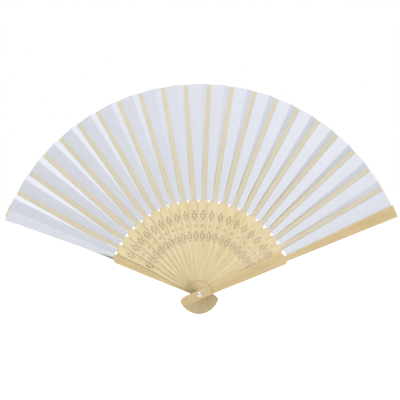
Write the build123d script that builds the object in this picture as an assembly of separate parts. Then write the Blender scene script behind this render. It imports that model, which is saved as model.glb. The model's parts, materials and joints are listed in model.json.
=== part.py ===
from build123d import *
import os

# Folding hand fan, fully open. Millimetres, +Z up, the rivet's axis along Y through the origin.
# The front of the fan faces -Y. Level 0 is the rear guard and the last level the front guard.

# driving dimensions
inner_sticks = 20
stick_step_deg = 6.36
inner_lead_deg = 0.6
stick_thick = 0.58
level_pitch = 0.65
tail_length = 20.2
leaf_inner_r = 94.2
leaf_outer_r = 209.5

# inner stick, half-widths at stations along its length
tail_half = 4.4
tail_round = 7.2
waist_half = 3.7
waist_start = 4.0
waist_end = 55.0
shoulder_half = 5.3
shoulder_start = 87.0
slip_root_r = 90.5
slip_root_half = 2.45
slip_tip_half = 1.85
slip_tip_r = 209.0
slip_thick = 0.3

# piercings of the inner stick
rosette_radii = (58.0, 78.7)
rosette_hole_r = 0.38
rosette_rows = 4
rosette_row_pitch = 2.6
rosette_pair_half = 1.5
eyelet_at = 68.2
eyelet_r = 0.5

# guards
guard_thick = 3.0
guard_waist_half = 4.1
guard_mid_half = 5.3
guard_mid_at = 50.0
guard_shoulder_half = 5.9
guard_shoulder_at = 91.0
guard_notch_r = 92.5
guard_neck_r = 93.4
guard_neck_inner = 1.7
guard_neck_outer = 3.8
guard_tip_half = 6.2
guard_tip_r = 210.5
rear_blade_recess = 0.3
front_blade_recess = 1.6
guard_edge_round = 0.4
guard_long_edge = 30.0

# relief round the rivet
relief_r = 14.0
stick_relief = 0.08
guard_relief = 0.6

# leaf
leaf_thick = 0.14
leaf_rear_edge_deg = 2.72
leaf_front_edge_deg = 1.5

# rivet and washer
rivet_r = 1.5
pivot_clearance = 0.05
rivet_head_r = 2.4
rivet_head_height = 0.85
rivet_peen_r = 1.9
washer_r = 3.0
washer_thick = 0.35

# how far a cut runs past the surface it opens, and the room taken beside and beyond a blade
cut_past = 1.0
blade_room = 10.0
blade_zone_width = 40.0
same_y = 0.01

last_level = inner_sticks + 1
half_stick = stick_thick / 2
hole_r = rivet_r + pivot_clearance
half_step_deg = stick_step_deg / 2


def level_y(level):
    """Middle of a level's stick: the rear guard is the furthest along +Y."""
    return (last_level / 2 - level) * level_pitch


def level_angle(level):
    """Angle of a level's stick from +Z, clockwise as seen from the front.
    The inner sticks all lean a little towards the rear guard."""
    lead_deg = inner_lead_deg if 0 < level < last_level else 0.0
    return (level - last_level / 2) * stick_step_deg - lead_deg


guard_back_y = level_y(0) - half_stick + guard_thick
guard_front_y = level_y(last_level) + half_stick - guard_thick


def slab(face, y_front, thick):
    """A flat outline in the XZ plane made into a plate from y_front towards +Y."""
    return Pos(0, y_front, 0) * extrude(face, thick, dir=(0, 1, 0))


def outline(edges):
    """A face in the XZ plane from edges drawn in x and z."""
    return Plane.XZ * make_face(edges)


def rod(radius, y_front, y_back):
    """A round bar along the rivet's axis."""
    return Pos(0, y_back, 0) * (Plane.XZ * extrude(Circle(radius), y_back - y_front))


def turned(shape, level):
    """The shape swung from upright to its level's place in the open fan."""
    return Rot(0, level_angle(level), 0) * shape


def stick_outline():
    tail_z = tail_round - tail_length
    tail = EllipticalCenterArc((0, tail_z), tail_half, tail_round, start_angle=180, arc_size=180)
    right = Polyline(
        (tail_half, tail_z),
        (waist_half, waist_start),
        (waist_half, waist_end),
        (shoulder_half, shoulder_start),
    )
    round_x = shoulder_half - slip_root_half
    round_z = leaf_inner_r - shoulder_start
    right_round = EllipticalCenterArc((slip_root_half, shoulder_start), round_x, round_z, start_angle=0)
    left_round = EllipticalCenterArc((-slip_root_half, shoulder_start), round_x, round_z, start_angle=90)
    top = Line((slip_root_half, leaf_inner_r), (-slip_root_half, leaf_inner_r))
    left = Polyline(
        (-shoulder_half, shoulder_start),
        (-waist_half, waist_end),
        (-waist_half, waist_start),
        (-tail_half, tail_z),
    )
    return outline(tail.edges() + right.edges() + right_round.edges() + top.edges()
                   + left_round.edges() + left.edges())


def slip_outline():
    side = [(slip_root_half, slip_root_r), (slip_root_half, leaf_inner_r), (slip_tip_half, slip_tip_r)]
    mirrored = [(-x, z) for x, z in reversed(side)]
    return outline(Polyline(*side, *mirrored, close=True).edges())


def piercings(y_front, y_back):
    """Two rosettes of small round holes with a single eyelet between them.
    A rosette has four rows: one hole, a pair, a pair and one hole."""
    holes = [Pos(0, eyelet_at) * Circle(eyelet_r)]
    for centre_r in rosette_radii:
        for row in range(rosette_rows):
            z = centre_r + (row - (rosette_rows - 1) / 2) * rosette_row_pitch
            offsets = (0.0,) if row in (0, rosette_rows - 1) else (-rosette_pair_half, rosette_pair_half)
            holes += [Pos(x, z) * Circle(rosette_hole_r) for x in offsets]
    return [slab(Plane.XZ * hole, y_front, y_back - y_front) for hole in holes]


def stick(level):
    y_front = level_y(level) - half_stick
    y_back = level_y(level) + half_stick
    body = slab(stick_outline(), y_front, stick_thick) + slab(slip_outline(), y_front, slip_thick)
    body -= rod(relief_r, y_front - cut_past, y_front + stick_relief)
    body -= rod(hole_r, y_front - cut_past, y_back + cut_past)
    for hole in piercings(y_front - cut_past, y_back + cut_past):
        body -= hole
    return turned(body, level)


def guard_outline(outer):
    """outer is 1 where the guard's free edge is towards +X, and -1 where it is towards -X."""
    tail_z = tail_round - tail_length
    tail = EllipticalCenterArc((0, tail_z), tail_half, tail_round, start_angle=180, arc_size=180)
    free_side = [
        (tail_half, tail_z),
        (guard_waist_half, waist_start),
        (guard_mid_half, guard_mid_at),
        (guard_shoulder_half, guard_shoulder_at),
        (guard_neck_outer, guard_notch_r),
        (guard_neck_outer, guard_neck_r),
        (guard_tip_half, guard_tip_r),
    ]
    leaf_side = [
        (-guard_tip_half, guard_tip_r),
        (-guard_neck_inner, guard_neck_r),
        (-guard_shoulder_half, guard_shoulder_at),
        (-guard_mid_half, guard_mid_at),
        (-guard_waist_half, waist_start),
        (-tail_half, tail_z),
    ]
    path = Polyline(*[(outer * x, z) for x, z in free_side + leaf_side])
    return outline(tail.edges() + path.edges())


def blade_zone(y_front, y_back):
    """The block round a guard's blade, outwards of its neck."""
    length = guard_tip_r - guard_neck_r + blade_room
    mid_z = guard_neck_r + length / 2
    return Pos(0, (y_front + y_back) / 2, mid_z) * Box(blade_zone_width, y_back - y_front, length)


def outer_rim(body, y):
    """The long straight edges of a guard's outer face."""
    edges = [e for e in body.edges() if abs(e.center().Y - y) < same_y]
    return [e for e in edges if e.length > guard_long_edge]


def rear_guard():
    inner_y = level_y(0) - half_stick
    body = slab(guard_outline(-1), inner_y, guard_thick)
    body = fillet(outer_rim(body, guard_back_y), guard_edge_round)
    body -= blade_zone(inner_y - cut_past, inner_y + rear_blade_recess)
    body -= rod(relief_r, guard_back_y - guard_relief, guard_back_y + cut_past)
    body -= rod(rivet_r, inner_y - cut_past, guard_back_y + cut_past)
    return turned(body, 0)


def front_guard():
    inner_y = level_y(last_level) + half_stick
    body = slab(guard_outline(1), guard_front_y, guard_thick)
    body = fillet(outer_rim(body, guard_front_y), guard_edge_round)
    body -= blade_zone(inner_y - front_blade_recess, inner_y + cut_past)
    body -= rod(relief_r, guard_front_y - cut_past, guard_front_y + guard_relief)
    body -= rod(hole_r, guard_front_y - cut_past, inner_y + cut_past)
    return turned(body, last_level)


def sector(start_deg, end_deg):
    """Part of a ring in the XZ plane, with angles clockwise from +Z."""
    arc_start = 90 - end_deg
    arc_size = end_deg - start_deg
    outer = CenterArc((0, 0), leaf_outer_r, arc_start, arc_size)
    inner = CenterArc((0, 0), leaf_inner_r, arc_start, arc_size)
    side_a = Line(outer @ 0, inner @ 0)
    side_b = Line(outer @ 1, inner @ 1)
    return outline(outer.edges() + side_a.edges() + inner.edges() + side_b.edges())


def leaf_panel(level):
    """One flat segment of the fabric leaf, behind its stick's slip."""
    start_deg = -half_step_deg
    end_deg = half_step_deg
    y_front = level_y(level) - half_stick + slip_thick
    if level == 0:
        start_deg = -leaf_rear_edge_deg
        y_front = level_y(0) - half_stick + rear_blade_recess - leaf_thick
    if level == last_level:
        end_deg = leaf_front_edge_deg
        y_front = level_y(last_level) + half_stick - front_blade_recess
    return turned(slab(sector(start_deg, end_deg), y_front, leaf_thick), level)


def rivet():
    """Shank with a low domed head at the front and a flat peened end behind the washer."""
    seat_y = guard_front_y + guard_relief - pivot_clearance
    washer_back = guard_back_y - guard_relief + washer_thick
    shank = rod(rivet_r, seat_y, washer_back)
    peen = rod(rivet_peen_r, washer_back, guard_back_y - pivot_clearance)
    ball_r = (rivet_head_r**2 + rivet_head_height**2) / (2 * rivet_head_height)
    ball = Pos(0, seat_y + ball_r - rivet_head_height, 0) * Sphere(ball_r)
    head = ball & rod(rivet_head_r + cut_past, seat_y - rivet_head_height - cut_past, seat_y)
    return shank + peen + head


def washer():
    seat_y = guard_back_y - guard_relief
    back_y = seat_y + washer_thick
    return rod(washer_r, seat_y, back_y) - rod(rivet_r, seat_y - cut_past, back_y + cut_past)


os.makedirs("parts", exist_ok=True)
export_step(rear_guard(), "parts/rear_guard.step")
export_step(front_guard(), "parts/front_guard.step")
export_step(rivet(), "parts/rivet.step")
export_step(washer(), "parts/rear_washer.step")
for level in range(1, last_level):
    export_step(stick(level), f"parts/stick_{level:02d}.step")
for level in range(last_level + 1):
    export_step(leaf_panel(level), f"parts/leaf_panel_{level:02d}.step")
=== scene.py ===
import json
import math
import random

import bpy
from mathutils import Matrix, Vector


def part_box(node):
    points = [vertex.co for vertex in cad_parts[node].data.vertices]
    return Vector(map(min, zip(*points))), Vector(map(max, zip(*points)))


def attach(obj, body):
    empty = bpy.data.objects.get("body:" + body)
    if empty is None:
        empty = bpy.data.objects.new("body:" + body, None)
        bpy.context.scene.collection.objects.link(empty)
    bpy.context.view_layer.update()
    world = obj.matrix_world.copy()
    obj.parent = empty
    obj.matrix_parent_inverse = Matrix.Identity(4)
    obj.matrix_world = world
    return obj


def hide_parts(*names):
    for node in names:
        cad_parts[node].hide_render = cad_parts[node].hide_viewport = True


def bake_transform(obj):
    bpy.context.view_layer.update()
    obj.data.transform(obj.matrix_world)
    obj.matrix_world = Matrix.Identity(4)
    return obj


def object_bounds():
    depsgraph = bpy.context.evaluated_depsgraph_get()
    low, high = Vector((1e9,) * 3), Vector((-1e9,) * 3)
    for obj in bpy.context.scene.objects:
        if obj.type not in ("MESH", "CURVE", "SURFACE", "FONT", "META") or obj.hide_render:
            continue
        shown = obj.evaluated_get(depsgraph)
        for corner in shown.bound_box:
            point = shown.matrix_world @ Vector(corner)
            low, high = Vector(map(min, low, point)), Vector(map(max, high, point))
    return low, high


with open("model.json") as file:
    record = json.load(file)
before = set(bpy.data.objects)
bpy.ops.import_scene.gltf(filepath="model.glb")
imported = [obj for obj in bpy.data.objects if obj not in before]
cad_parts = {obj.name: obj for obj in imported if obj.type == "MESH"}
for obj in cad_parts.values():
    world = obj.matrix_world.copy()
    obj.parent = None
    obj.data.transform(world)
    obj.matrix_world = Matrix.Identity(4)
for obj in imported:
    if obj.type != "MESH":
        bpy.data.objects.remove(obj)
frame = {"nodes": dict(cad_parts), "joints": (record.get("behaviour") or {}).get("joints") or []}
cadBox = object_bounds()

mm = 0.001
jointOfChild = {joint["child"]: joint for joint in frame["joints"]}
lastLevel = len(jointOfChild)             # level 0 is the rear guard, the last one the front guard
bodyOfLevel = ["rear_guard"] + [f"stick_{i:02d}" for i in range(1, lastLevel)] + ["front_guard"]
spans = [math.radians(jointOfChild[body]["range_deg"][1]) for body in bodyOfLevel[1:]]


def levelAngle(level):
    # clockwise from straight up, seen from the front
    return sum(spans[:level]) - sum(spans) / 2


def panelName(level):
    return f"leaf_panel_{level:02d}"


def leafDepth(level):
    low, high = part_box(panelName(level))
    return (low[1] + high[1]) / 2


class Num:
    # a node socket that adds and multiplies like a number, in shader and geometry trees
    def __init__(self, tree, socket):
        self.tree = tree
        self.socket = socket

    def math(self, operation, *others):
        node = self.tree.nodes.new("ShaderNodeMath")
        node.operation = operation
        for slot, value in zip(node.inputs, (self, *others)):
            if isinstance(value, Num):
                self.tree.links.new(value.socket, slot)
            else:
                slot.default_value = value
        return Num(self.tree, node.outputs[0])

    def __add__(self, other):
        return self.math("ADD", other)

    def __sub__(self, other):
        return self.math("SUBTRACT", other)

    def __mul__(self, other):
        return self.math("MULTIPLY", other)

    def __truediv__(self, other):
        return self.math("DIVIDE", other)

    def away(self):
        return self.math("ABSOLUTE")

    def root(self):
        return self.math("SQRT")

    def least(self, other):
        return self.math("MINIMUM", other)

    def most(self, other):
        return self.math("MAXIMUM", other)

    def ramp(self, low, high, smooth=True):
        # 0 at low, 1 at high
        kind = "SMOOTHSTEP" if smooth else "LINEAR"
        node = addNode(self.tree, "ShaderNodeMapRange", {"Value": self, "From Min": low, "From Max": high},
                       interpolation_type=kind)
        return Num(self.tree, node.outputs[0])


def addNode(tree, kind, links=None, **values):
    # links are keyed by the input's name, values by the node's property
    node = tree.nodes.new(kind)
    for name, value in values.items():
        setattr(node, name, value)
    for name, value in (links or {}).items():
        slot = node.inputs[name]
        if isinstance(value, Num):
            tree.links.new(value.socket, slot)
        elif isinstance(value, bpy.types.NodeSocket):
            tree.links.new(value, slot)
        else:
            slot.default_value = value
    return node


def newTree(name, kind, inputs, outputs):
    tree = bpy.data.node_groups.new(name, kind)
    for label, socketType, default in inputs:
        socket = tree.interface.new_socket(label, in_out="INPUT", socket_type=socketType)
        if default is not None:
            socket.default_value = default
    for label, socketType in outputs:
        tree.interface.new_socket(label, in_out="OUTPUT", socket_type=socketType)
    source = tree.nodes.new("NodeGroupInput")
    sink = tree.nodes.new("NodeGroupOutput")
    return tree, source, sink


def splitVector(tree, vector):
    node = addNode(tree, "ShaderNodeSeparateXYZ", {"Vector": vector})
    return [Num(tree, output) for output in node.outputs]


def noiseAt(tree, parts, seed, detail=2.0):
    # noise at a place given in cells
    place = addNode(tree, "ShaderNodeCombineXYZ", dict(zip("XYZ", parts)))
    node = addNode(tree, "ShaderNodeTexNoise",
                   {"Vector": place.outputs[0], "W": seed, "Scale": 1.0, "Detail": detail},
                   noise_dimensions="4D")
    return Num(tree, node.outputs[0])


def drawnOut(tree, place, across, along, seed, detail=2.0):
    # noise whose cells are this wide across Z and this long along it
    x, y, z = place
    return noiseAt(tree, (x / across, y / across, z / along), seed, detail)


def mixColour(tree, share, first, second):
    node = tree.nodes.new("ShaderNodeMix")
    node.data_type = "RGBA"
    slots = [slot for slot in node.inputs if slot.type == "RGBA"]
    tree.links.new(share.socket, node.inputs[0])
    for slot, value in zip(slots, (first, second)):
        if isinstance(value, bpy.types.NodeSocket):
            tree.links.new(value, slot)
        else:
            slot.default_value = value
    return next(output for output in node.outputs if output.type == "RGBA")


def evaluatedMesh(obj, name):
    # the modifiers' result as a plain mesh in a new object; the old one goes
    graph = bpy.context.evaluated_depsgraph_get()
    mesh = bpy.data.meshes.new_from_object(obj.evaluated_get(graph), depsgraph=graph)
    mesh.name = name
    bpy.data.objects.remove(obj)
    made = bpy.data.objects.new(name, mesh)
    bpy.context.scene.collection.objects.link(made)
    return made


leafPlan = {
    "innerRadius": 94.2 * mm,
    "outerRadius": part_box(panelName(lastLevel // 2))[1][2],
    "pleatHeight": 3.5 * mm,          # at the rim; less towards the sticks
    "foldShare": 0.56,                # where the mountain fold lies between two valley folds
    "slipHalfInner": 2.6 * mm,        # half a slip's width and the play beside it
    "slipHalfOuter": 2.0 * mm,
    "guardReachInner": 2.6 * mm,      # how far the last panel runs behind the front guard
    "guardReachOuter": 5.5 * mm,
    "guardBendInner": 0.5 * mm,
    "guardBendOuter": 3.0 * mm,
    "lastFoldShare": 0.6,
    "lastStripShift": 4.4 * mm,
    "ripple": 0.16 * mm,
    "creaseHalf": 1.2 * mm,           # finer mesh this far on each side of the mountain fold
    "foldSoftness": 0.35 * mm,
    "thickness": 0.12 * mm,
    "sharpDegrees": 35,
    "rippleStretch": 3.0,
    "rippleScale": 26.0,
    "across": 51,                     # mesh columns over a pleat, and rows from the sticks to the rim
    "along": 41,
    "endAcross": 21,
    "riseEnd": 0.42,                  # the share of the columns at which each stretch of the pleat ends
    "foldEnd": 0.58,
    "fallEnd": 0.86,
    "turnShare": 0.98,                # how much of the rising panel turns over when the fan shuts
}

leafSockets = [
    ("Inner Radius", leafPlan["innerRadius"]),
    ("Outer Radius", leafPlan["outerRadius"]),
    ("Angle A", 0.0),
    ("Angle B", 0.1),
    ("Depth A", 0.0),
    ("Depth B", 0.0),
    ("Height Inner", 0.0),
    ("Height Outer", 0.0),
    ("Left Inner", leafPlan["slipHalfInner"]),
    ("Left Outer", leafPlan["slipHalfOuter"]),
    ("Right Inner", leafPlan["slipHalfInner"]),
    ("Right Outer", leafPlan["slipHalfOuter"]),
    ("Bend Inner", leafPlan["slipHalfInner"]),
    ("Bend Outer", leafPlan["slipHalfOuter"]),
    ("Fold Share", leafPlan["foldShare"]),
    ("Crease Half", leafPlan["creaseHalf"]),
    ("Start", 0.0),
    ("End", 1.0),
    ("Ripple", leafPlan["ripple"]),
    ("Ripple Seed", 0.0),
]


def leafTree():
    # one pleat between two sticks: a panel rises from valley A to the mountain, another falls to valley B
    inputs = [(label, "NodeSocketFloat", value) for label, value in leafSockets]
    inputs.append(("Across", "NodeSocketInt", leafPlan["across"]))
    inputs.append(("Along", "NodeSocketInt", leafPlan["along"]))
    inputs.append(("Cloth", "NodeSocketMaterial", None))
    outputs = [("Geometry", "NodeSocketGeometry")]
    tree, source, sink = newTree("leafPleat", "GeometryNodeTree", inputs, outputs)
    get = {label: Num(tree, source.outputs[label]) for label, _ in leafSockets}
    grid = addNode(tree, "GeometryNodeMeshGrid", {"Size X": 1.0, "Size Y": 1.0,
                                                  "Vertices X": source.outputs["Across"],
                                                  "Vertices Y": source.outputs["Along"]})
    gridX, gridY, _ = splitVector(tree, tree.nodes.new("GeometryNodeInputPosition").outputs[0])
    v = gridY + 0.5
    u = get["Start"] + (get["End"] - get["Start"]) * (gridX + 0.5)

    def along(name):
        return get[name + " Inner"] + (get[name + " Outer"] - get[name + " Inner"]) * v

    radius = get["Inner Radius"] + (get["Outer Radius"] - get["Inner Radius"]) * v
    valleyA = get["Angle A"] + along("Left") / radius
    valleyB = get["Angle B"] + along("Right") / radius
    bend = get["Angle B"] - along("Bend") / radius
    peak = valleyA + (valleyB - valleyA) * get["Fold Share"]
    crease = get["Crease Half"] / radius

    # the columns: up the first panel, over the fold, down the second, and flat behind the next slip
    rising = u.ramp(0.0, leafPlan["riseEnd"], smooth=False)
    overFold = u.ramp(leafPlan["riseEnd"], leafPlan["foldEnd"], smooth=False)
    falling = u.ramp(leafPlan["foldEnd"], leafPlan["fallEnd"], smooth=False)
    glued = u.ramp(leafPlan["fallEnd"], 1.0, smooth=False)
    angle = valleyA + (peak - crease - valleyA) * rising + crease * 2.0 * overFold
    angle = angle + (bend - peak - crease) * falling + (valleyB - bend) * glued

    softness = leafPlan["foldSoftness"]

    def rounded(distance):
        return (distance * distance + softness ** 2).root() - softness

    peakDepth = get["Depth A"] - along("Height")
    climb = rounded((angle - peak) * radius)
    shareA = (climb / rounded((peak - valleyA) * radius)).least(1.0)
    shareB = (climb / rounded((bend - peak) * radius)).least(1.0)
    depthA = peakDepth + (get["Depth A"] - peakDepth) * shareA
    depthB = peakDepth + (get["Depth B"] - peakDepth) * shareB
    onB = (angle - peak).math("GREATER_THAN", 0.0)
    depth = depthA + (depthB - depthA) * onB

    # the cloth isn't quite flat between its folds
    spot = addNode(tree, "ShaderNodeCombineXYZ", {"X": angle * radius * leafPlan["rippleStretch"],
                                                  "Y": radius, "Z": get["Ripple Seed"]})
    noise = addNode(tree, "ShaderNodeTexNoise", {"Vector": spot.outputs[0], "Scale": leafPlan["rippleScale"],
                                                 "Detail": 1.0})
    calm = (rising * math.pi).math("SINE") + (falling * math.pi).math("SINE")
    depth = depth + (Num(tree, noise.outputs[0]) - 0.5) * get["Ripple"] * calm * 2.0

    target = addNode(tree, "ShaderNodeCombineXYZ", {"X": angle.math("SINE") * radius, "Y": depth,
                                                    "Z": angle.math("COSINE") * radius})
    cloth = addNode(tree, "ShaderNodeCombineXYZ", {"X": angle * radius, "Y": radius})
    stored = addNode(tree, "GeometryNodeStoreNamedAttribute",
                     {"Geometry": grid.outputs["Mesh"], "Name": "UVMap", "Value": cloth.outputs[0]},
                     data_type="FLOAT2", domain="CORNER")
    moved = addNode(tree, "GeometryNodeSetPosition",
                    {"Geometry": stored.outputs[0], "Position": target.outputs[0]})
    smooth = addNode(tree, "GeometryNodeSetShadeSmooth", {"Geometry": moved.outputs[0]})
    real = addNode(tree, "GeometryNodeRealizeInstances", {"Geometry": smooth.outputs[0]})
    painted = addNode(tree, "GeometryNodeSetMaterial",
                      {"Geometry": real.outputs[0], "Material": source.outputs["Cloth"]})
    tree.links.new(painted.outputs[0], sink.inputs[0])
    return tree


def leafPiece(name, tree, cloth, settings):
    holder = bpy.data.objects.new(name, bpy.data.meshes.new(name))
    bpy.context.scene.collection.objects.link(holder)
    modifier = holder.modifiers.new("Pleat", "NODES")
    modifier.node_group = tree
    for item in tree.interface.items_tree:
        if item.in_out == "INPUT" and item.name in settings:
            modifier[item.identifier] = settings[item.name]
        if item.in_out == "INPUT" and item.name == "Cloth":
            modifier[item.identifier] = cloth
    solid = holder.modifiers.new("Thickness", "SOLIDIFY")
    solid.thickness = leafPlan["thickness"]
    solid.offset = 0.0
    piece = evaluatedMesh(holder, name)
    piece.data.set_sharp_from_angle(angle=math.radians(leafPlan["sharpDegrees"]))
    return piece


def pleatSettings(level):
    # the pleat between this level and the next; it may not stand further forward than the front guard allows
    room = leafDepth(level) - leafDepth(lastLevel) - leafPlan["thickness"] * 2
    outerHeight = min(leafPlan["pleatHeight"], room)
    settings = {
        "Angle A": levelAngle(level),
        "Angle B": levelAngle(level + 1),
        "Depth A": leafDepth(level),
        "Depth B": leafDepth(level + 1),
        "Height Inner": outerHeight * leafPlan["innerRadius"] / leafPlan["outerRadius"],
        "Height Outer": outerHeight,
        "Right Inner": leafPlan["slipHalfInner"],
        "Right Outer": leafPlan["slipHalfOuter"],
        "Fold Share": leafPlan["foldShare"],
        "Ripple Seed": level * 7.3,
    }
    if level == lastLevel - 1:
        flatHeight = leafDepth(level) - leafDepth(lastLevel)
        settings |= {
            "Height Inner": flatHeight,
            "Height Outer": flatHeight,
            "Right Inner": leafPlan["guardReachInner"],
            "Right Outer": leafPlan["guardReachOuter"],
            "Bend Inner": leafPlan["guardBendInner"],
            "Bend Outer": leafPlan["guardBendOuter"],
            "Fold Share": leafPlan["lastFoldShare"],
        }
    return settings


def valleyAngles(settings, size):
    # where the pleat's two valley folds lie at the inner or the outer edge
    radius = leafPlan["innerRadius" if size == "Inner" else "outerRadius"]
    first = settings["Angle A"] + leafPlan["slipHalf" + size] / radius
    second = settings["Angle B"] + settings["Right " + size] / radius
    return radius, first, second


def clothCut(settings, share):
    # width at the rim and area of this share of a pleat, laid flat
    arcs = []
    for size in ("Inner", "Outer"):
        radius, first, second = valleyAngles(settings, size)
        panel = (second - first) * radius / 2
        growth = math.hypot(panel, settings["Height " + size]) / panel
        arcs.append((second - first) * share * radius * growth)
    area = (arcs[0] + arcs[1]) / 2 * (leafPlan["outerRadius"] - leafPlan["innerRadius"])
    return arcs[1], area


def onPlane(radius, angle):
    return Vector((radius * math.sin(angle), 0.0, radius * math.cos(angle)))


def foldStrip(level, settings):
    # where the cloth turns over as the fan shuts: nearly the whole rising panel, up to the mountain fold
    ends = []
    for size in ("Inner", "Outer"):
        radius, valleyA, valleyB = valleyAngles(settings, size)
        peak = valleyA + (valleyB - valleyA) * settings["Fold Share"]
        if size == "Outer" and level == lastLevel - 1:
            peak -= leafPlan["lastStripShift"] / radius
        ends.append((onPlane(radius, valleyA), onPlane(radius, peak)))
    (innerValley, innerPeak), (_, outerPeak) = ends
    ridge = (outerPeak - innerPeak).normalized()
    across = Vector((ridge.z, 0.0, -ridge.x))
    width = (innerPeak - innerValley).dot(across)
    start = innerPeak - across * width * leafPlan["turnShare"]
    return start, innerPeak


def endPanel(name, tree, cloth, level, settings, share):
    # half a pleat, glued flat on a guard's blade
    piece = leafPiece(name, tree, cloth, settings | {"Ripple": 0.0, "Across": leafPlan["endAcross"]})
    width, area = clothCut(settings, share)
    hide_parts(panelName(level))
    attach(piece, bodyOfLevel[level])


def buildLeaf(cloth):
    tree = leafTree()
    flat = {"Height Inner": 0.0, "Height Outer": 0.0}
    rear = pleatSettings(0) | flat | {
        "Angle A": levelAngle(0) - spans[1], "Angle B": levelAngle(0),
        "Depth A": leafDepth(0), "Depth B": leafDepth(0), "Fold Share": 0.5, "Start": 0.5,
    }
    endPanel("leafRearEnd", tree, cloth, 0, rear, 0.5)
    for level in range(lastLevel):
        settings = pleatSettings(level)
        share = 1.0
        if level == lastLevel - 1:
            settings["End"] = 0.5             # only its rising panel; the other is glued on the guard
            share = settings["Fold Share"]
        piece = leafPiece(f"leafPleat_{level:02d}", tree, cloth, settings)
        if level < lastLevel - 1:
            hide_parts(panelName(level + 1))
        start, end = foldStrip(level, settings)
        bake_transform(piece)
        width, area = clothCut(settings, share)
    front = pleatSettings(lastLevel - 1) | flat | {"Depth A": leafDepth(lastLevel), "Start": 0.5}
    endPanel("leafFrontEnd", tree, cloth, lastLevel, front, 1.0 - leafPlan["lastFoldShare"])
    print("leaf:", lastLevel + 2, "pieces")


def newMaterial(name):
    material = bpy.data.materials.new(name)
    material.use_nodes = True
    tree = material.node_tree
    return material, tree, tree.nodes["Principled BSDF"]


def relief(tree, shader, height, depth):
    # height from 0 to 1 as a surface relief this many metres deep
    bump = addNode(tree, "ShaderNodeBump", {"Height": height, "Strength": 1.0, "Distance": depth})
    tree.links.new(bump.outputs["Normal"], shader.inputs["Normal"])


weavePlan = {
    "thread": 0.24 * mm,
    "warpColour": (0.626, 0.638, 0.690, 1.0),
    "weftColour": (0.572, 0.587, 0.648, 1.0),
    "roughness": 0.5,
    "depth": 0.03 * mm,
    "sheen": 0.15,
    "sheenRoughness": 0.4,
    "shafts": 5.0,
    "shift": 2.0,                     # how far the dip moves from one warp thread to the next
    "warpCrown": 0.4,
    "weftCrown": 0.3,
    "weftLevel": 0.25,
    "threadStep": 0.37,               # makes each thread's noise its own
    "slubLength": 14 * mm,
    "pickLength": 9 * mm,
    "cloudAcross": 22 * mm,
    "cloudAlong": 30 * mm,
    "dipTone": 0.55,
    "slubTone": 0.7,
    "pickTone": 0.5,
    "cloudTone": 0.9,
    "plainTone": 0.1,
    "dipRoughness": 0.12,
    "slubRoughness": 0.25,
    "slubHeight": 0.2,
}


def weaveGroup():
    # five-shaft satin: each warp thread floats over four weft threads and dips under the fifth
    plan = weavePlan
    inputs = [
        ("Vector", "NodeSocketVector", None),
        ("Thread", "NodeSocketFloat", plan["thread"]),
        ("Warp", "NodeSocketColor", plan["warpColour"]),
        ("Weft", "NodeSocketColor", plan["weftColour"]),
        ("Roughness", "NodeSocketFloat", plan["roughness"]),
    ]
    outputs = [("Color", "NodeSocketColor"), ("Roughness", "NodeSocketFloat"), ("Height", "NodeSocketFloat")]
    tree, source, sink = newTree("satinWeave", "ShaderNodeTree", inputs, outputs)
    across, along, _ = splitVector(tree, source.outputs["Vector"])
    thread = Num(tree, source.outputs["Thread"])
    warpCount = across / thread
    weftCount = along / thread
    warpIndex = warpCount.math("FLOOR")
    weftIndex = weftCount.math("FLOOR")
    turn = (warpIndex * plan["shift"] + weftIndex).math("FLOORED_MODULO", plan["shafts"])
    dips = turn.math("LESS_THAN", 0.5)
    warpRound = (warpCount.math("FRACT") * math.pi).math("SINE")
    weftRound = (weftCount.math("FRACT") * math.pi).math("SINE")
    warpTop = warpRound * plan["warpCrown"] + (1.0 - plan["warpCrown"])
    weftTop = weftRound * plan["weftCrown"] + plan["weftLevel"]
    height = warpTop * (dips * -1.0 + 1.0) + weftTop * dips
    # thicker and thinner threads, and a soft cloudiness over the cloth
    onWarp = (warpIndex * plan["threadStep"], along / plan["slubLength"], 0.0)
    onWeft = (weftIndex * plan["threadStep"], across / plan["pickLength"], 5.0)
    slub = noiseAt(tree, onWarp, seed=3.0, detail=1.0)
    pick = noiseAt(tree, onWeft, seed=8.0, detail=1.0)
    cloud = noiseAt(tree, (across / plan["cloudAcross"], along / plan["cloudAlong"], 2.0), seed=1.0)
    toWeft = dips * plan["dipTone"] + (slub - 0.5) * plan["slubTone"] + (pick - 0.5) * plan["pickTone"]
    toWeft = toWeft + (cloud - 0.5) * plan["cloudTone"] + plan["plainTone"]
    colour = mixColour(tree, toWeft.most(0.0).least(1.0), source.outputs["Warp"], source.outputs["Weft"])
    rough = Num(tree, source.outputs["Roughness"]) + dips * plan["dipRoughness"]
    rough = rough + (slub - 0.5) * plan["slubRoughness"]
    height = height * (1.0 - plan["slubHeight"]) + slub * plan["slubHeight"]
    tree.links.new(colour, sink.inputs["Color"])
    tree.links.new(rough.socket, sink.inputs["Roughness"])
    tree.links.new(height.socket, sink.inputs["Height"])
    return tree


def clothMaterial():
    material, tree, shader = newMaterial("leafSatin")
    uv = addNode(tree, "ShaderNodeUVMap", uv_map="UVMap")
    weave = addNode(tree, "ShaderNodeGroup", node_tree=weaveGroup())
    tree.links.new(uv.outputs[0], weave.inputs["Vector"])
    tree.links.new(weave.outputs["Color"], shader.inputs["Base Color"])
    tree.links.new(weave.outputs["Roughness"], shader.inputs["Roughness"])
    relief(tree, shader, weave.outputs["Height"], weavePlan["depth"])
    shader.inputs["Sheen Weight"].default_value = weavePlan["sheen"]
    shader.inputs["Sheen Roughness"].default_value = weavePlan["sheenRoughness"]
    return material


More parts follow.
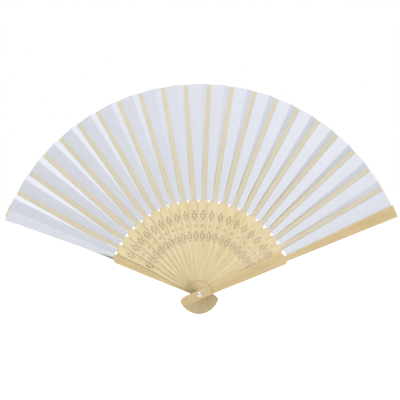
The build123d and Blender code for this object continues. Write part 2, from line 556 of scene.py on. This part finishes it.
stickPlan = {
    "light": (0.735, 0.622, 0.385),
    "dark": (0.585, 0.460, 0.240),
    "slip": (0.545, 0.515, 0.41, 1.0),          # the thin end that carries the leaf is planed paler
    "slipShare": 0.6,
    # round the holes: burnt rims, and painted shade where the holes look dark
    "scorchAndShade": (0.20, 0.105, 0.03, 1.0),
    # burnt brown of the cut edges with painted shadow between the sticks, also the colour of the painted
    # shade at the relief step
    "edge": (0.36, 0.245, 0.10, 1.0),
    "toneSpread": 0.03,
    "roughness": 0.5,
    "grainDepth": 0.03 * mm,
    "slipFrom": 91 * mm,
    "slipTo": 96 * mm,
    "tailEnd": -13 * mm,
    "tailHalf": 4.4 * mm,
    "waistFrom": 4 * mm,
    "waistTo": 55 * mm,
    "waistHalf": 3.7 * mm,
    "shoulderAt": 87 * mm,
    "shoulderHalf": 5.3 * mm,
    "slipHalf": 2.45 * mm,
    "leafAt": 94.2 * mm,
    "rosettes": (58.0 * mm, 78.7 * mm),
    "rowPitch": 2.6 * mm,                       # four rows: one hole, a pair, a pair and one hole
    "pairHalf": 1.5 * mm,
    "holeRadius": 0.38 * mm,
    "eyeletAt": 68.2 * mm,
    "eyeletRadius": 0.5 * mm,
    "holeRingWidth": 0.85 * mm,
    "holeRingFull": 0.32 * mm,
    "edgeWidth": 0.55 * mm,
    "edgeShareRear": 0.62,                      # cut edges are browner towards the rear guard: burnt edges, with painted shadow between the sticks
    "edgeShareFront": 0.25,
    "holePatch": 0.9 * mm,                      # the browning isn't even round a hole,
    "holeLeast": 0.7,
    "holeGain": 0.5,
    "edgePatchAcross": 4 * mm,                  # nor along an edge
    "edgePatchAlong": 7 * mm,
    "edgeLeast": 0.1,
    "edgeGain": 1.2,
}

guardPlan = {
    "light": (0.625, 0.490, 0.267),
    "dark": (0.480, 0.354, 0.160),
    "toneSpread": 0.02,
    "roughness": 0.42,
    "grainDepth": 0.04 * mm,
    # the colour of the painted shade on the tails
    "worn": (0.60, 0.46, 0.235, 1.0),
}

grainPlan = {
    "sway": 2.2 * mm,                 # how far the fibres wander sideways, and over what distance
    "swayAcross": 30 * mm,
    "swayAlong": 55 * mm,
    "bandAcross": 1.9 * mm,
    "bandDeep": 2.6 * mm,
    "bandAlong": 70 * mm,
    "fibreAcross": 0.33 * mm,
    "fibreAlong": 13 * mm,
    "poreAcross": 0.19 * mm,
    "poreAlong": 2.4 * mm,
    "poreFrom": 0.6,
    "poreTo": 0.74,
    "blotchAcross": 14 * mm,
    "blotchAlong": 24 * mm,
    "bandTone": 1.3,                  # how much each of them darkens the wood
    "fibreTone": 1.2,
    "blotchTone": 0.7,
    "poreTone": 0.28,
    "plainTone": 0.34,
    "fibreRoughness": 0.35,
    "poreRoughness": 0.12,
    "fibreHeight": 0.7,
    "bandHeight": 0.3,
    "poreDepth": 0.45,
}


def grainGroup():
    # straight-grained wood whose fibres run along Z
    plan = grainPlan
    inputs = [
        ("Vector", "NodeSocketVector", None),
        ("Seed", "NodeSocketFloat", 0.0),
        ("Light", "NodeSocketColor", (*stickPlan["light"], 1.0)),
        ("Dark", "NodeSocketColor", (*stickPlan["dark"], 1.0)),
        ("Roughness", "NodeSocketFloat", stickPlan["roughness"]),
    ]
    outputs = [("Color", "NodeSocketColor"), ("Roughness", "NodeSocketFloat"), ("Height", "NodeSocketFloat")]
    tree, source, sink = newTree("woodGrain", "ShaderNodeTree", inputs, outputs)
    x, y, z = splitVector(tree, source.outputs["Vector"])
    seed = source.outputs["Seed"]
    x = x + drawnOut(tree, (x, y, z), plan["swayAcross"], plan["swayAlong"], seed, detail=1.0) * plan["sway"]
    place = (x, y, z)
    bands = noiseAt(tree, (x / plan["bandAcross"], y / plan["bandDeep"], z / plan["bandAlong"]), seed)
    fibres = drawnOut(tree, place, plan["fibreAcross"], plan["fibreAlong"], seed)
    pores = drawnOut(tree, place, plan["poreAcross"], plan["poreAlong"], seed, detail=1.0)
    pores = pores.ramp(plan["poreFrom"], plan["poreTo"])
    blotch = drawnOut(tree, place, plan["blotchAcross"], plan["blotchAlong"], seed)
    toDark = (bands - 0.5) * plan["bandTone"] + (fibres - 0.5) * plan["fibreTone"]
    toDark = toDark + (blotch - 0.5) * plan["blotchTone"] + pores * plan["poreTone"] + plan["plainTone"]
    colour = mixColour(tree, toDark.most(0.0).least(1.0), source.outputs["Light"], source.outputs["Dark"])
    rough = Num(tree, source.outputs["Roughness"]) + (fibres - 0.5) * plan["fibreRoughness"]
    rough = rough + pores * plan["poreRoughness"]
    height = fibres * plan["fibreHeight"] + bands * plan["bandHeight"] - pores * plan["poreDepth"]
    tree.links.new(colour, sink.inputs["Color"])
    tree.links.new(rough.socket, sink.inputs["Roughness"])
    tree.links.new(height.socket, sink.inputs["Height"])
    return tree


tailAndReliefShadePlan = {
    "from": 14 * mm,                  # the painted tail shade and the hand's polish grow from here down to the tail
    "to": -12 * mm,
    "patchAcross": 6 * mm,
    "patchAlong": 9 * mm,
    "patchLeast": 0.1,
    "patchGain": 1.4,
    "share": 0.35,                    # how much the painted tail shade darkens the colour, and how much the hand polishes
    "polish": 0.16,
    "reliefRadius": 14 * mm,
    "stepFade": 2.6 * mm,             # painted shade lies in the corner of the relief and thins towards the rivet
    "stepEdge": 0.15 * mm,
    "stepTo": 6 * mm,                 # only above the rivet: from none at its height to all of it here
    "stepLeast": 0.3,
    "reliefShadeShare": 0.4,
}


def tailAndReliefShadeGroup():
    # painted shade on the tails, which a hand has also polished, and painted shade in the corner of the
    # relief
    plan = tailAndReliefShadePlan
    inputs = [("Vector", "NodeSocketVector", None), ("Seed", "NodeSocketFloat", 0.0)]
    outputs = [("Mask", "NodeSocketFloat"), ("Relief Shade", "NodeSocketFloat")]
    tree, source, sink = newTree("tailAndReliefShadeWood", "ShaderNodeTree", inputs, outputs)
    x, y, z = splitVector(tree, source.outputs["Vector"])
    patch = drawnOut(tree, (x, y, z), plan["patchAcross"], plan["patchAlong"], source.outputs["Seed"])
    mask = z.ramp(plan["from"], plan["to"]) * (patch * plan["patchGain"] + plan["patchLeast"])
    inward = (x * x + z * z).root() * -1.0 + plan["reliefRadius"]
    above = z.ramp(0.0, plan["stepTo"]) * (patch + plan["stepLeast"])
    reliefShade = inward.ramp(plan["stepFade"], 0.0) * inward.ramp(-plan["stepEdge"], plan["stepEdge"]) * above
    tree.links.new(mask.most(0.0).least(1.0).socket, sink.inputs["Mask"])
    tree.links.new(reliefShade.least(1.0).socket, sink.inputs["Relief Shade"])
    return tree


def burnAndShadeGroup():
    # burnt browning round the bored holes and along the cut edges of an inner stick, with painted shade in
    # the holes and painted shadow between the sticks along the edges
    plan = stickPlan
    inputs = [("Vector", "NodeSocketVector", None), ("Seed", "NodeSocketFloat", 0.0)]
    outputs = [("Holes", "NodeSocketFloat"), ("Edges", "NodeSocketFloat")]
    tree, source, sink = newTree("burnAndShadeCuts", "ShaderNodeTree", inputs, outputs)
    x, y, z = splitVector(tree, source.outputs["Vector"])
    seed = source.outputs["Seed"]
    side = x.away()

    def distance(dx, dz, radius):
        return (dx * dx + dz * dz).root() - radius

    # the two rosettes mirror each other, and so do the rows of each
    lower, upper = plan["rosettes"]
    row = ((z - (lower + upper) / 2).away() - (upper - lower) / 2).away()
    single = distance(side, row - plan["rowPitch"] * 1.5, plan["holeRadius"])
    pair = distance(side - plan["pairHalf"], row - plan["rowPitch"] * 0.5, plan["holeRadius"])
    eyelet = distance(side, z - plan["eyeletAt"], plan["eyeletRadius"])
    nearest = single.least(pair).least(eyelet)
    uneven = drawnOut(tree, (x, y, z), plan["holePatch"], plan["holePatch"], seed)
    uneven = uneven * plan["holeGain"] + plan["holeLeast"]
    holes = nearest.ramp(plan["holeRingWidth"], plan["holeRingFull"]) * uneven

    tail = z.ramp(plan["waistFrom"], plan["tailEnd"], smooth=False) * (plan["tailHalf"] - plan["waistHalf"])
    shoulder = z.ramp(plan["waistTo"], plan["shoulderAt"], smooth=False)
    shoulder = shoulder * (plan["shoulderHalf"] - plan["waistHalf"])
    turn = z.ramp(plan["shoulderAt"], plan["leafAt"], smooth=False)
    rounding = ((turn * turn * -1.0 + 1.0).root() * -1.0 + 1.0) * (plan["shoulderHalf"] - plan["slipHalf"])
    inside = tail + shoulder - rounding + plan["waistHalf"] - side
    drift = drawnOut(tree, (x, y, z), plan["edgePatchAcross"], plan["edgePatchAlong"], seed)
    edges = inside.ramp(plan["edgeWidth"], 0.0) * (drift * plan["edgeGain"] + plan["edgeLeast"])
    tree.links.new(holes.least(1.0).socket, sink.inputs["Holes"])
    tree.links.new(edges.most(0.0).least(1.0).socket, sink.inputs["Edges"])
    return tree


seedSteps = {"grain": 3.7, "tailAndReliefShade": 1.3, "scorchAndShade": 2.1}


def woodLayer(tree, groups, kind, own, level):
    # one of the groups above, with a seed of the stick's own
    layer = addNode(tree, "ShaderNodeGroup", {"Vector": own}, node_tree=groups[kind])
    layer.inputs["Seed"].default_value = level * seedSteps[kind]
    return layer


def woodMaterial(name, plan, level, groups, inner):
    # the pattern is turned with its stick, so the grain runs along it
    dice = random.Random(level * 17 + 5)
    tone = 1.0 + dice.uniform(-plan["toneSpread"], plan["toneSpread"])
    warmth = 1.0 + dice.uniform(-plan["toneSpread"], plan["toneSpread"]) / 2
    material, tree, shader = newMaterial(name)
    place = tree.nodes.new("ShaderNodeTexCoord")
    turned = addNode(tree, "ShaderNodeMapping", {"Vector": place.outputs["Object"]})
    turned.inputs["Rotation"].default_value = (0.0, -levelAngle(level), 0.0)
    own = turned.outputs[0]
    grain = woodLayer(tree, groups, "grain", own, level)
    grain.inputs["Roughness"].default_value = plan["roughness"]
    for label, colour in (("Light", plan["light"]), ("Dark", plan["dark"])):
        red, green, blue = colour
        grain.inputs[label].default_value = (red * tone, green * tone, blue * tone / warmth, 1.0)
    tailAndReliefShade = woodLayer(tree, groups, "tailAndReliefShade", own, level)
    tailShadeAndPolish = Num(tree, tailAndReliefShade.outputs["Mask"])
    colour = grain.outputs["Color"]
    if inner:
        _, _, z = splitVector(tree, own)
        paler = z.ramp(plan["slipFrom"], plan["slipTo"]) * plan["slipShare"]
        colour = mixColour(tree, paler, colour, plan["slip"])
        burnAndShade = woodLayer(tree, groups, "scorchAndShade", own, level)
        # burnt edges, with painted shadow between the sticks that grows towards the rear guard
        share = plan["edgeShareRear"] + (plan["edgeShareFront"] - plan["edgeShareRear"]) * level / lastLevel
        colour = mixColour(tree, Num(tree, burnAndShade.outputs["Edges"]) * share, colour, plan["edge"])
        # burnt rims and painted shade round the holes
        colour = mixColour(tree, Num(tree, burnAndShade.outputs["Holes"]), colour, plan["scorchAndShade"])
    # painted shade on the tails
    colour = mixColour(tree, tailShadeAndPolish * tailAndReliefShadePlan["share"], colour, guardPlan["worn"])
    # painted shade in the corner of the relief, above the rivet
    reliefShadeMask = Num(tree, tailAndReliefShade.outputs["Relief Shade"]) * tailAndReliefShadePlan["reliefShadeShare"]
    colour = mixColour(tree, reliefShadeMask, colour, stickPlan["edge"])
    rough = Num(tree, grain.outputs["Roughness"]) - tailShadeAndPolish * tailAndReliefShadePlan["polish"]
    tree.links.new(colour, shader.inputs["Base Color"])
    tree.links.new(rough.socket, shader.inputs["Roughness"])
    relief(tree, shader, grain.outputs["Height"], plan["grainDepth"])
    return material


metalPlan = {
    "bright": (0.84, 0.80, 0.785, 1.0),
    "dull": (0.52, 0.49, 0.47, 1.0),
    "rivetRoughness": 0.24,
    "washerRoughness": 0.36,
    "scratchDepth": 0.008 * mm,
    "ringWidth": 0.09 * mm,
    "scratchWidth": 0.05 * mm,
    "scratchDeep": 1 * mm,
    "scratchLength": 1.6 * mm,
    "scratchFrom": 0.62,
    "scratchTo": 0.72,
    "spotSize": 0.8 * mm,
    "spotFrom": 0.45,
    "spotTo": 0.7,
    "spotShare": 0.5,                 # how much the spots and the scratches dull the metal
    "scratchShare": 0.35,
    "ringRoughness": 0.2,
    "wornRoughness": 0.18,
    "ringHeight": 0.6,
    "scratchHeight": 0.4,
}


def metalGroup():
    # plated metal: fine rings from turning, scratches across them, and dull spots
    plan = metalPlan
    inputs = [
        ("Vector", "NodeSocketVector", None),
        ("Bright", "NodeSocketColor", plan["bright"]),
        ("Dull", "NodeSocketColor", plan["dull"]),
        ("Roughness", "NodeSocketFloat", plan["rivetRoughness"]),
    ]
    outputs = [("Color", "NodeSocketColor"), ("Roughness", "NodeSocketFloat"), ("Height", "NodeSocketFloat")]
    tree, source, sink = newTree("platedMetal", "ShaderNodeTree", inputs, outputs)
    x, y, z = splitVector(tree, source.outputs["Vector"])
    out = (x * x + z * z).root()
    rings = noiseAt(tree, (out / plan["ringWidth"], 0.0, 0.0), seed=2.0, detail=1.0)
    slanted = ((x + z) / plan["scratchWidth"], y / plan["scratchDeep"], (x - z) / plan["scratchLength"])
    scratches = noiseAt(tree, slanted, seed=6.0, detail=1.0).ramp(plan["scratchFrom"], plan["scratchTo"])
    spots = drawnOut(tree, (x, y, z), plan["spotSize"], plan["spotSize"], seed=4.0)
    spots = spots.ramp(plan["spotFrom"], plan["spotTo"])
    worn = (spots * plan["spotShare"] + scratches * plan["scratchShare"]).least(1.0)
    colour = mixColour(tree, worn, source.outputs["Bright"], source.outputs["Dull"])
    rough = Num(tree, source.outputs["Roughness"]) + (rings - 0.5) * plan["ringRoughness"]
    rough = rough + worn * plan["wornRoughness"]
    height = rings * plan["ringHeight"] - scratches * plan["scratchHeight"]
    tree.links.new(colour, sink.inputs["Color"])
    tree.links.new(rough.socket, sink.inputs["Roughness"])
    tree.links.new(height.socket, sink.inputs["Height"])
    return tree


def metalMaterial(name, group, roughness):
    material, tree, shader = newMaterial(name)
    place = tree.nodes.new("ShaderNodeTexCoord")
    plated = addNode(tree, "ShaderNodeGroup", node_tree=group)
    tree.links.new(place.outputs["Object"], plated.inputs["Vector"])
    plated.inputs["Roughness"].default_value = roughness
    tree.links.new(plated.outputs["Color"], shader.inputs["Base Color"])
    tree.links.new(plated.outputs["Roughness"], shader.inputs["Roughness"])
    shader.inputs["Metallic"].default_value = 1.0
    relief(tree, shader, plated.outputs["Height"], metalPlan["scratchDepth"])
    return material


def dress(nodeName, material):
    materials = frame["nodes"][nodeName].data.materials
    materials.clear()
    materials.append(material)


def dressFrame():
    groups = {"grain": grainGroup(), "tailAndReliefShade": tailAndReliefShadeGroup(), "scorchAndShade": burnAndShadeGroup()}
    for level, body in enumerate(bodyOfLevel):
        inner = 0 < level < lastLevel
        plan = stickPlan if inner else guardPlan
        dress(body, woodMaterial("wood_" + body, plan, level, groups, inner))
    plated = metalGroup()
    dress("rivet", metalMaterial("rivetMetal", plated, metalPlan["rivetRoughness"]))
    dress("rear_washer", metalMaterial("washerMetal", plated, metalPlan["washerRoughness"]))
    print("frame:", len(bodyOfLevel), "wooden pieces, a rivet and a washer")


roomPlan = {
    "cameraDistance": 0.8,
    "fieldWidth": 0.4,
    "sensorWidth": 36.0,
    "cameraX": 0.0005,
    "cameraZ": 0.0938,
    "keySize": 0.38,
    "keyPower": 6.9,
    "keyPlace": (0.0, -0.45, 0.95),
    "backSize": 0.7,
    "backPower": 4.5,
    "backPlace": (0.1, 0.6, 0.8),
    "aim": (0.0, 0.0, 0.1),
    "fillColour": (0.97, 0.98, 1.0, 1.0),
    "fillStrength": 0.62,
    "floorHalf": 3.0,
    "floorGap": 0.5 * mm,
    "floorColour": (0.9, 0.9, 0.9, 1.0),
    "floorRoughness": 0.9,
    "floorGlow": 0.6,
}


def buildCamera():
    camera = bpy.data.cameras.new("Camera")
    camera.sensor_width = roomPlan["sensorWidth"]
    camera.lens = roomPlan["sensorWidth"] * roomPlan["cameraDistance"] / roomPlan["fieldWidth"]
    holder = bpy.data.objects.new("Camera", camera)
    holder.location = (roomPlan["cameraX"], -roomPlan["cameraDistance"], roomPlan["cameraZ"])
    holder.rotation_euler = (math.radians(90), 0, 0)
    bpy.context.scene.collection.objects.link(holder)
    bpy.context.scene.camera = holder


def addLight(name, size, power, place):
    light = bpy.data.lights.new(name, "AREA")
    light.shape = "DISK"
    light.size = size
    light.energy = power
    holder = bpy.data.objects.new(name, light)
    holder.location = place
    aim = Vector(roomPlan["aim"]) - holder.location
    holder.rotation_euler = aim.to_track_quat("-Z", "Y").to_euler()
    bpy.context.scene.collection.objects.link(holder)


def buildLights():
    addLight("Key", roomPlan["keySize"], roomPlan["keyPower"], roomPlan["keyPlace"])
    addLight("Back", roomPlan["backSize"], roomPlan["backPower"], roomPlan["backPlace"])
    # white where the camera sees it, softer where it lights the fan
    world = bpy.data.worlds.new("World")
    world.use_nodes = True
    bpy.context.scene.world = world
    tree = world.node_tree
    tree.nodes.clear()
    seen = addNode(tree, "ShaderNodeBackground", {"Color": (1, 1, 1, 1), "Strength": 1.0})
    fill = addNode(tree, "ShaderNodeBackground", {"Color": roomPlan["fillColour"],
                                                  "Strength": roomPlan["fillStrength"]})
    path = tree.nodes.new("ShaderNodeLightPath")
    mix = addNode(tree, "ShaderNodeMixShader", {"Fac": path.outputs["Is Camera Ray"]})
    tree.links.new(fill.outputs[0], mix.inputs[1])
    tree.links.new(seen.outputs[0], mix.inputs[2])
    out = tree.nodes.new("ShaderNodeOutputWorld")
    tree.links.new(mix.outputs[0], out.inputs[0])


def buildFloor():
    mesh = bpy.data.meshes.new("floor")
    half = roomPlan["floorHalf"]
    corners = [(-half, -half, 0), (half, -half, 0), (half, half, 0), (-half, half, 0)]
    mesh.from_pydata(corners, [], [(0, 1, 2, 3)])
    mesh.transform(Matrix.Translation((0, 0, cadBox[0][2] - roomPlan["floorGap"])))
    floor = bpy.data.objects.new("floor", mesh)
    bpy.context.scene.collection.objects.link(floor)
    material, tree, shader = newMaterial("floorPaper")
    shader.inputs["Base Color"].default_value = roomPlan["floorColour"]
    shader.inputs["Roughness"].default_value = roomPlan["floorRoughness"]
    shader.inputs["Emission Color"].default_value = (1, 1, 1, 1)
    path = tree.nodes.new("ShaderNodeLightPath")
    glow = Num(tree, path.outputs["Is Camera Ray"]) * roomPlan["floorGlow"]
    tree.links.new(glow.socket, shader.inputs["Emission Strength"])
    mesh.materials.append(material)


buildCamera()
dressFrame()
buildLeaf(clothMaterial())
buildLights()
buildFloor()
bpy.context.scene.view_settings.view_transform = "Standard"
print("room: camera, two lights, fill and floor")
